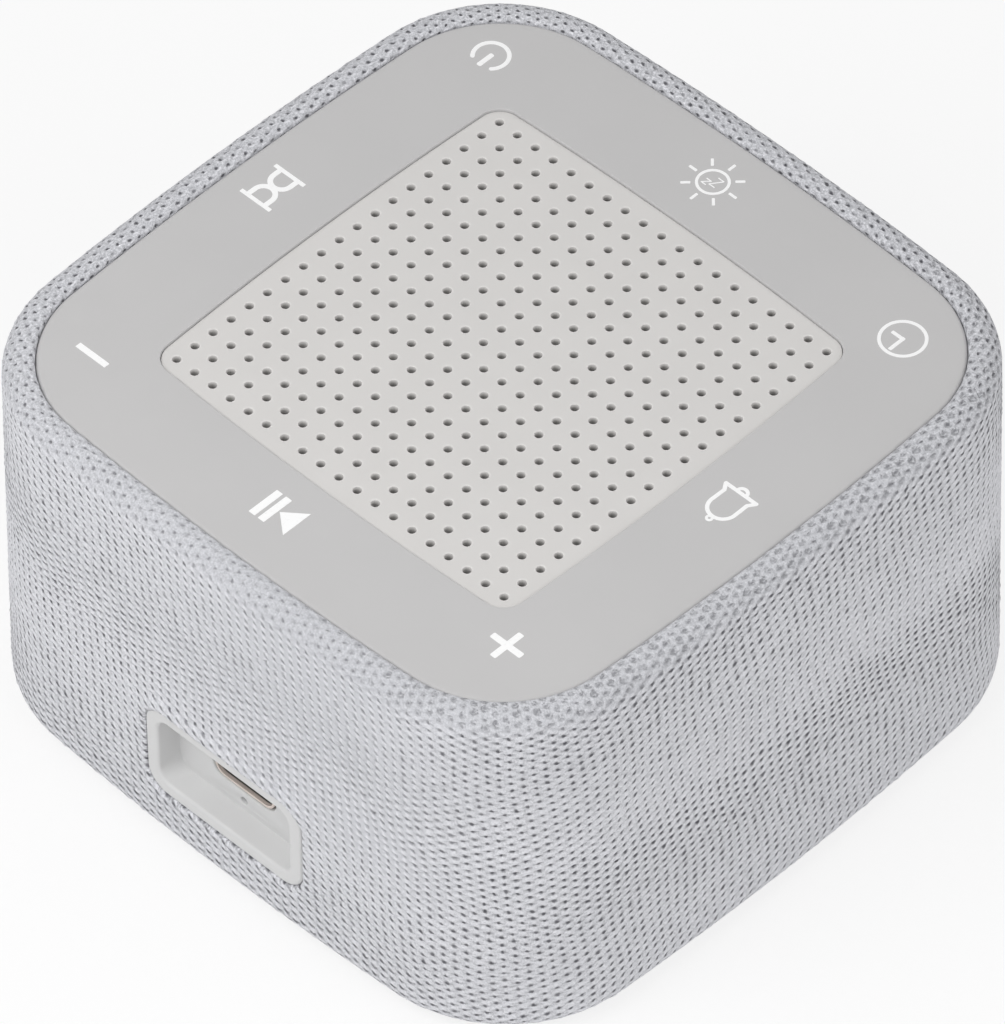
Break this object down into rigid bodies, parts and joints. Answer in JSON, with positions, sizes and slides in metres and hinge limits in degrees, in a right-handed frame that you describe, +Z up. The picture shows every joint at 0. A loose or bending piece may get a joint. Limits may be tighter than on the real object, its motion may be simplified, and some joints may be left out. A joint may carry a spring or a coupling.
{
  "type": "white noise sound machine",
  "caption": "Low bowed-square bedside sound machine: knitted sleeve, soft key panel round a perforated grille, rear power socket, speaker, boards and cell inside.",
  "frame": {"origin": "centre of the footprint on the plane of the rubber feet", "axes": "+Z up through the grille, -Y the front with the display behind the fabric, +Y the back with the power socket, +X the right side seen from the front"},
  "size_m": [0.088, 0.088, 0.0496],
  "materials": {
    "knit_fabric": "pale grey knit with an open diagonal mesh",
    "shell_plastic": "matte moulded plastic",
    "cover_plastic": "fine spark texture",
    "foot_rubber": "matte rubber",
    "screw_steel": "zinc plated",
    "panel_silicone": "soft matte silicone",
    "grille_plastic": "smooth matte plastic",
    "mesh_cloth": "fine black acoustic mesh",
    "key_plastic": "moulded plastic",
    "board_laminate": "solder mask over glass laminate",
    "switch_plastic": "black moulded plastic",
    "gasket_foam": "closed-cell foam",
    "basket_steel": "pressed and plated",
    "surround_rubber": "satin rubber",
    "spider_cloth": "resin-stiffened cloth",
    "cone_paper": "pressed fibre",
    "coil_copper": "lacquered copper wire",
    "tag_laminate": "paper laminate",
    "magnet_ferrite": "sintered ferrite",
    "bezel_plastic": "smooth matte plastic",
    "socket_steel": "drawn stainless shell",
    "tongue_plastic": "moulded plastic",
    "lamp_lens": "clear resin over phosphor",
    "chip_plastic": "moulded epoxy",
    "capacitor_aluminium": "drawn can",
    "connector_nylon": "natural nylon",
    "cell_foil": "laminated foil pouch",
    "film_plastic": "translucent diffusing film",
    "ribbon_film": "flat flexible ribbon",
    "lead_jacket": "soft insulated wire"
  },
  "bodies": {
    "housing": {"fabric_sleeve": "knit_fabric", "main_shell": "shell_plastic", "bottom_cover": "cover_plastic", "rubber_feet": "foot_rubber", "cover_screws": "screw_steel", "key_panel": "panel_silicone", "speaker_grille": "grille_plastic", "dust_mesh": "mesh_cloth", "key_board": "board_laminate", "key_switches": "switch_plastic", "key_domes": "socket_steel", "key_board_screws": "screw_steel", "speaker_gasket": "gasket_foam", "speaker_basket": "basket_steel", "speaker_surround": "surround_rubber", "speaker_spider": "spider_cloth", "speaker_top_plate": "basket_steel", "speaker_magnet": "magnet_ferrite", "speaker_yoke": "basket_steel", "speaker_terminals": "tag_laminate", "speaker_screws": "screw_steel", "port_bezel": "bezel_plastic", "socket_shell": "socket_steel", "socket_tongue": "tongue_plastic", "charge_lamp": "lamp_lens", "main_board": "board_laminate", "board_chips": "chip_plastic", "board_capacitors": "capacitor_aluminium", "board_connectors": "connector_nylon", "board_screws": "screw_steel", "battery_cell": "cell_foil", "battery_pad": "gasket_foam", "display_mask": "bezel_plastic", "display_film": "film_plastic", "display_board": "board_laminate", "display_lamps": "lamp_lens", "display_screws": "screw_steel", "key_ribbon": "ribbon_film", "display_ribbon": "ribbon_film", "speaker_leads": "lead_jacket", "battery_leads": "lead_jacket"},
    "cone_assembly": {"speaker_cone": "cone_paper", "dust_cap": "cone_paper", "voice_coil": "coil_copper"},
    "power_key_body": {"power_key": "key_plastic"},
    "dimmer_key_body": {"dimmer_key": "key_plastic"},
    "clock_key_body": {"clock_key": "key_plastic"},
    "alarm_key_body": {"alarm_key": "key_plastic"},
    "volume_up_key_body": {"volume_up_key": "key_plastic"},
    "play_key_body": {"play_key": "key_plastic"},
    "volume_down_key_body": {"volume_down_key": "key_plastic"},
    "timer_key_body": {"timer_key": "key_plastic"}
  },
  "joints": [
    {"name": "cone_slide", "type": "slide", "parent": "housing", "child": "cone_assembly", "axis": [0, 0, 1], "range_m": [-0.0008, 0.0008], "stiffness_N_per_m": 1500},
    {"name": "power_press", "type": "slide", "parent": "housing", "child": "power_key_body", "axis": [0, 0, -1], "range_m": [0, 0.00025], "stiffness_N_per_m": 4000},
    {"name": "dimmer_press", "type": "slide", "parent": "housing", "child": "dimmer_key_body", "axis": [0, 0, -1], "range_m": [0, 0.00025], "stiffness_N_per_m": 4000},
    {"name": "clock_press", "type": "slide", "parent": "housing", "child": "clock_key_body", "axis": [0, 0, -1], "range_m": [0, 0.00025], "stiffness_N_per_m": 4000},
    {"name": "alarm_press", "type": "slide", "parent": "housing", "child": "alarm_key_body", "axis": [0, 0, -1], "range_m": [0, 0.00025], "stiffness_N_per_m": 4000},
    {"name": "volume_up_press", "type": "slide", "parent": "housing", "child": "volume_up_key_body", "axis": [0, 0, -1], "range_m": [0, 0.00025], "stiffness_N_per_m": 4000},
    {"name": "play_press", "type": "slide", "parent": "housing", "child": "play_key_body", "axis": [0, 0, -1], "range_m": [0, 0.00025], "stiffness_N_per_m": 4000},
    {"name": "volume_down_press", "type": "slide", "parent": "housing", "child": "volume_down_key_body", "axis": [0, 0, -1], "range_m": [0, 0.00025], "stiffness_N_per_m": 4000},
    {"name": "timer_press", "type": "slide", "parent": "housing", "child": "timer_key_body", "axis": [0, 0, -1], "range_m": [0, 0.00025], "stiffness_N_per_m": 4000}
  ]
}
